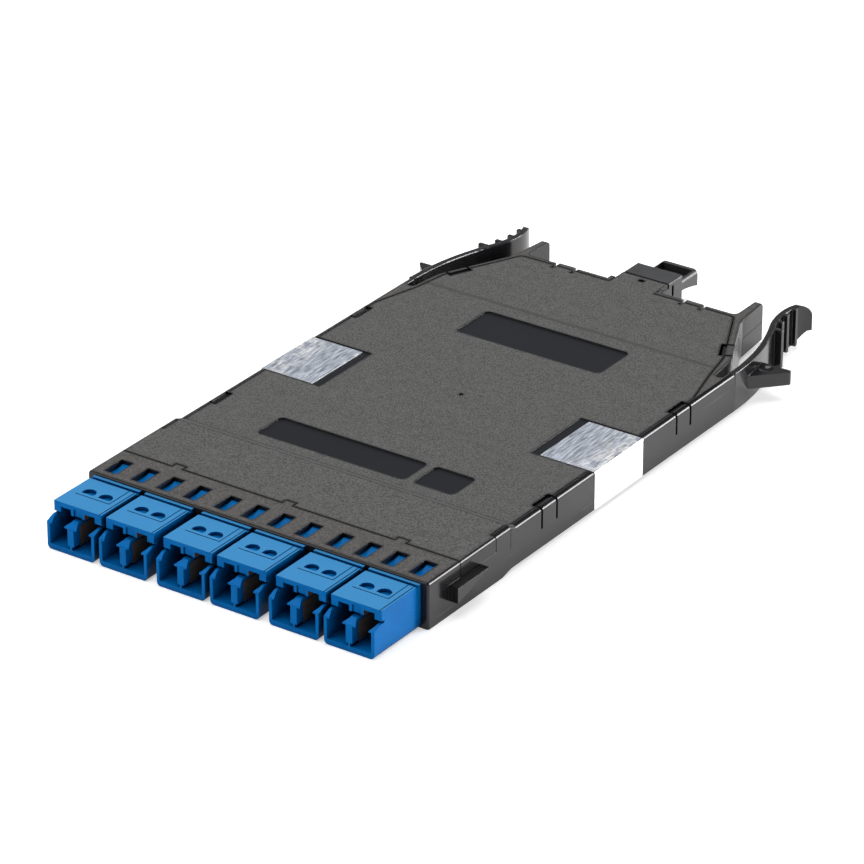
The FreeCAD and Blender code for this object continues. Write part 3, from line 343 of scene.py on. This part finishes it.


# ABS from a spark-eroded mould: grained on top, where the colour is painted a lighter grey as the sheen
# that the grain scatters, and polished on the sides and in the recesses, which stay darker and take
# reflections
def sparkTexturedAbs(name, values):
    material, tree, shader, place = newFinish(name)
    grain = addGrain(tree, place, values["grain"])
    mottle = addGrain(tree, place, values["mottle"], 2.0)
    cloud = addGrain(tree, place, values["cloud"], 2.0)
    rub = addStreaks(tree, place, values["rub"], values["rubRatio"], 0.0, 2.0)
    share = values["mottleShare"]
    speck = combine(tree, "ADD", combine(tree, "MULTIPLY", grain, 1 - share),
                    combine(tree, "MULTIPLY", mottle, share))
    # grain, with painted sheen: the grained faces are painted lighter than the polished ones
    top = mixColours(tree, spread(tree, speck, *values["grainSpread"]), values["grainAndSheenDark"],
                     values["grainAndSheenLight"])
    side = mixColours(tree, spread(tree, cloud, *noiseRange), values["side"], values["sideLight"])
    side = mixColours(tree, spread(tree, rub, *values["rubSpread"], 0.0, values["rubShade"]), side,
                      values["rubColour"])
    flat = facingUp(tree, place)
    grained = flat
    if "grainLow" in values:
        grained = combine(tree, "MULTIPLY", grained, between(tree, place, "Z", values["grainLow"], beyond))
        middle = between(tree, place, "X", -values["grainSide"], values["grainSide"])
        front = between(tree, place, "Y", -beyond, values["grainFront"])
        grained = combine(tree, "MULTIPLY", grained, combine(tree, "MAXIMUM", middle, front))
    colour = mixColours(tree, grained, side, top)
    rough = spread(tree, grained, 0.0, 1.0, values["sideRoughness"], values["topRoughness"])
    if "partingHeight" in values:
        line = partingLine(tree, place, values)
        colour = mixColours(tree, line, colour, values["partingColour"])
        rough = combine(tree, "MAXIMUM", rough, line)
    shader.inputs["Specular IOR Level"].default_value = values["specular"]
    if "recess" in values:
        low = combine(tree, "MULTIPLY", grained, between(tree, place, "Z", 0.0, values["recessTop"]))
        colour = mixColours(tree, low, colour, values["recess"])
        tree.links.new(spread(tree, low, 0.0, 1.0, values["specular"], values["recessSpecular"]),
                       shader.inputs["Specular IOR Level"])
        rough = spread(tree, low, 0.0, 1.0, values["topRoughness"], values["recessRoughness"])
        rough = combine(tree, "MINIMUM", rough,
                        spread(tree, grained, 0.0, 1.0, values["sideRoughness"], 1.0))
        grained = combine(tree, "SUBTRACT", grained, low)
        scuff = combine(tree, "MULTIPLY", grained, between(tree, place, "Y", *values["scuffLine"]))
        scuff = combine(tree, "MULTIPLY", scuff,
                        spread(tree, grain, *values["scuffSpread"], 0.0, values["scuffShade"]))
        colour = mixColours(tree, scuff, colour, values["side"])
        # painted shade: dark lines across the grained top at both ends of the slope
        for fold in values["folds"]:
            creasesAndSlopeShade = combine(tree, "MULTIPLY", grained, between(tree, place, "Y", *fold))
            colour = mixColours(tree, combine(tree, "MULTIPLY", creasesAndSlopeShade, values["slopeShadeStrength"]), colour,
                                values["side"])
    # painted shade: the colour is darkened in joints and slots
    colour = paintCornerShade(tree, colour, values["corner"], values["cornerShade"])
    # painted shade: a dark line on the level faces along joints and every other sharp edge
    edgeShade = combine(tree, "MULTIPLY", flat, nearEdge(tree, values["edgeShadeReach"]))
    edgeShade = combine(tree, "MULTIPLY", edgeShade, values["edgeShadeStrength"])
    colour = mixColours(tree, edgeShade, colour, values["edgeShadeColour"])
    tree.links.new(colour, shader.inputs["Base Color"])
    change = values["roughnessChange"]
    rough = combine(tree, "ADD", rough, spread(tree, cloud, *noiseRange, -change, change))
    tree.links.new(rough, shader.inputs["Roughness"])
    addRelief(tree, shader, combine(tree, "MULTIPLY", grain, grained), values["depth"], values["edge"])
    return material


# In the next six, cloud, wave, depth, edge and corner are lengths in millimetres.
# ABS from a polished mould: nearly black, with soft mirror images in its curved faces
lever = {"side": "#161517", "sideLight": "#1e1d1f", "cloud": 9.0, "wave": 3.0, "depth": 0.004,
         "roughness": 0.16, "edge": 0.25, "corner": 1.0}

# Glass-filled PBT: black with a satin sheen, since the fibres keep the skin from being quite smooth
blackPart = {"side": "#2a2a2b", "sideLight": "#363638", "cloud": 6.0, "wave": 0.7, "depth": 0.01,
             "roughness": 0.38, "edge": 0.14, "corner": 1.0}

# Unfilled PBT of the plugs: an even light grey
lightPart = {"side": "#8f9296", "sideLight": "#a2a5a8", "cloud": 6.0, "wave": 0.7, "depth": 0.006,
             "roughness": 0.4, "edge": 0.08}

# PBT of the sleeve holders: brown-grey and dull, with painted shade where it lies deep in a port
holder = {"side": "#4a4039", "sideLight": "#594d45", "cloud": 2.0, "wave": 0.5, "depth": 0.01,
          "roughness": 0.62, "edge": 0.05, "corner": 4.0}

# PVC extruded over the fibres: aqua, with a soft sheen
jacket = {"side": "#2a9aa8", "sideLight": "#3fb0ba", "cloud": 3.0, "wave": 0.4, "depth": 0.006,
          "roughness": 0.45, "edge": 0.05}

# Zirconia, ground and polished: a warm white with small sharp highlights
zirconia = {"side": "#e4e2da", "sideLight": "#f0eee8", "cloud": 2.0, "wave": 0.3, "depth": 0.002,
            "roughness": 0.2, "edge": 0.03}


# A smooth surface: slow changes of tone, and a faint waviness that breaks up the reflections
def smoothMoulded(name, values):
    cornerShade, roughnessChange = 0.1, 0.05
    material, tree, shader, place = newFinish(name)
    cloud = addGrain(tree, place, values["cloud"], 2.0)
    wave = addGrain(tree, place, values["wave"])
    colour = mixColours(tree, spread(tree, cloud, *noiseRange), values["side"], values["sideLight"])
    if "corner" in values:
        # painted shade in corners and deep places
        colour = paintCornerShade(tree, colour, values["corner"], cornerShade)
    tree.links.new(colour, shader.inputs["Base Color"])
    rough = spread(tree, wave, *noiseRange, values["roughness"] - roughnessChange,
                   values["roughness"] + roughnessChange)
    tree.links.new(rough, shader.inputs["Roughness"])
    addRelief(tree, shader, wave, values["depth"], values["edge"])
    return material


adapter = {
    "colour": "#0064a9",
    "colourLight": "#006bb4",
    "top": "#3b87be",
    "topLow": 9.95,            # mm above the underside; only the top face gets the painted sheen
    "shine": "#008cff",        # keeps the white studio's reflections from greying the blue
    "specular": 0.12,
    "corner": 6.0,             # mm; the painted shade reaches far, so that the ports are dark
    "cornerShade": 0.03,
    "cornerFull": 0.6,
    "slotWall": "#57493f",
    "slotSpot": 1.8,           # mm from the adapter's middle to the wall of the right slot
    "slotReach": 0.08,         # mm to each side of that
    "slotLow": 7.45,           # mm above the underside
    "slotTop": 9.05,           # mm
    "grain": 0.35,             # mm, coarser than the real satin, so that it shows
    "cloud": 7.0,              # mm
    "depth": 0.012,            # mm
    "roughness": 0.25,
    "topRoughness": 0.46,
    "roughnessChange": 0.04,
    "edge": 0.16,              # mm
}


# PBT moulded in blue: glossy walls, and a fine satin grain on the top face, whose sheen is painted in as a
# paler blue.
# In the right slot the wall is the brown-grey of the sleeve holder
def bluePbt(name, values, middle):
    material, tree, shader, place = newFinish(name)
    cloud = addGrain(tree, place, values["cloud"], 2.0)
    grain = addGrain(tree, place, values["grain"])
    walls = mixColours(tree, spread(tree, cloud, *noiseRange), values["colour"], values["colourLight"])
    up = combine(tree, "MULTIPLY", facingUp(tree, place),
                 between(tree, place, "Z", values["topLow"], beyond))
    # painted sheen: the top face is painted a paler blue
    colour = mixColours(tree, up, walls, values["top"])
    # painted shade: the ports and slots are darkened
    colour = paintCornerShade(tree, colour, values["corner"], values["cornerShade"], values["cornerFull"])
    spot, reach = middle / mm + values["slotSpot"], values["slotReach"]
    slot = combine(tree, "MULTIPLY", between(tree, place, "X", spot - reach, spot + reach),
                   between(tree, place, "Z", values["slotLow"], values["slotTop"]))
    colour = mixColours(tree, slot, colour, values["slotWall"])
    tree.links.new(colour, shader.inputs["Base Color"])
    shader.inputs["Specular IOR Level"].default_value = values["specular"]
    shader.inputs["Specular Tint"].default_value = toLinear(values["shine"])
    change = values["roughnessChange"]
    rough = combine(tree, "ADD", spread(tree, up, 0.0, 1.0, values["roughness"], values["topRoughness"]),
                    spread(tree, grain, *noiseRange, -change, change))
    tree.links.new(rough, shader.inputs["Roughness"])
    addRelief(tree, shader, grain, values["depth"], values["edge"])
    return material


foil = {
    "colour": "#b3bac7",
    "streak": "#d8dee8",
    "streakWidth": 0.4,        # mm
    "streakRatio": 0.12,       # width over length
    "streakTurn": 40.0,        # degrees from the x axis
    "streakSpread": (0.35, 0.65),
    "streakRelief": 0.3,       # against 1 for the creases
    "creasesAndSlopeShade": 3.0,             # mm
    "depth": 0.015,            # mm
    "glare": (36.0, 42.5),     # mm from the middle; towards the fold, a painted highlight of white spots where the film is lifted and shines
    "glareGrain": 2.2,         # mm
    "glareSpread": (0.45, 0.58),
    "side": "#fdfefe",
    "sideMetal": 0.5,
    "roughness": 0.38,
    "roughnessChange": (-0.1, 0.14),
    "edge": 0.05,              # mm
}


# Aluminised polyester film, rolled and stuck down by hand: fine slanting streaks in the metal and shallow
# creases
def rolledFoil(name, values):
    material, tree, shader, place = newFinish(name)
    up = facingUp(tree, place)
    streak = addStreaks(tree, place, values["streakWidth"], values["streakRatio"],
                        values["streakTurn"], 4.0)
    creasesAndSlopeShade = addGrain(tree, place, values["creasesAndSlopeShade"], 2.0)
    metal = mixColours(tree, spread(tree, streak, *values["streakSpread"]), values["colour"],
                       values["streak"])
    # painted highlight: white spots on the film towards the fold
    spot = addNode(tree, "ShaderNodeSeparateXYZ", {}, {0: place.outputs["Object"]}).outputs["X"]
    nearFold = spread(tree, combine(tree, "ABSOLUTE", spot, 0.0), *[g * mm for g in values["glare"]])
    glintSpots = spread(tree, addGrain(tree, place, values["glareGrain"]), *values["glareSpread"])
    metal = mixColours(tree, combine(tree, "MULTIPLY", nearFold, glintSpots), metal, values["side"])
    metal = mixColours(tree, up, values["side"], metal)
    tree.links.new(metal, shader.inputs["Base Color"])
    smooth, dull = [values["roughness"] + c for c in values["roughnessChange"]]
    tree.links.new(spread(tree, streak, *noiseRange, smooth, dull), shader.inputs["Roughness"])
    tree.links.new(spread(tree, up, 0.0, 1.0, values["sideMetal"], 1.0), shader.inputs["Metallic"])
    height = combine(tree, "ADD", combine(tree, "MULTIPLY", streak, values["streakRelief"]), creasesAndSlopeShade)
    addRelief(tree, shader, height, values["depth"], values["edge"])
    return material


finishes = {
    "top_cover": sparkTexturedAbs("ABS, spark-eroded grain on top", cover),
    "base_tray": sparkTexturedAbs("ABS, polished sides and grained bezel", tray),
    "release_lever_right": smoothMoulded("ABS, polished mould", lever),
    "breakout_block": smoothMoulded("black glass-filled PBT, moulded", blackPart),
    "sleeve_holders": smoothMoulded("brown-grey PBT, moulded", holder),
    "split_sleeves": smoothMoulded("zirconia, ground", zirconia),
    "inner_plug": smoothMoulded("light grey PBT, moulded", lightPart),
    "fibre_tails": smoothMoulded("aqua PVC jacket, extruded", jacket),
    "tamper_seal_right": rolledFoil("aluminised film, rolled", foil),
}

# Pieces of the same material as the one named first
alike = {
    "release_lever_right": ("release_lever_left",),
    "breakout_block": ("array_ferrule", "multi_adapter", "dust_cap"),
    "split_sleeves": ("inner_ferrules",),
    "inner_plug": ("multi_plug",),
    "fibre_tails": ("fibre_coil", "fibre_ribbon"),
    "tamper_seal_right": ("tamper_seal_left",),
}
for first, others in alike.items():
    for other in others:
        finishes[other] = finishes[first]

for name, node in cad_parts.items():
    if name.startswith("lc_adapter"):
        low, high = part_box(name)
        finish = bluePbt("blue PBT, moulded " + name[-1], adapter, (low.x + high.x) / 2)
    else:
        finish = finishes[name.rstrip("_0123456789")]
    node.data.materials.clear()
    node.data.materials.append(finish)
print("finishes are on")
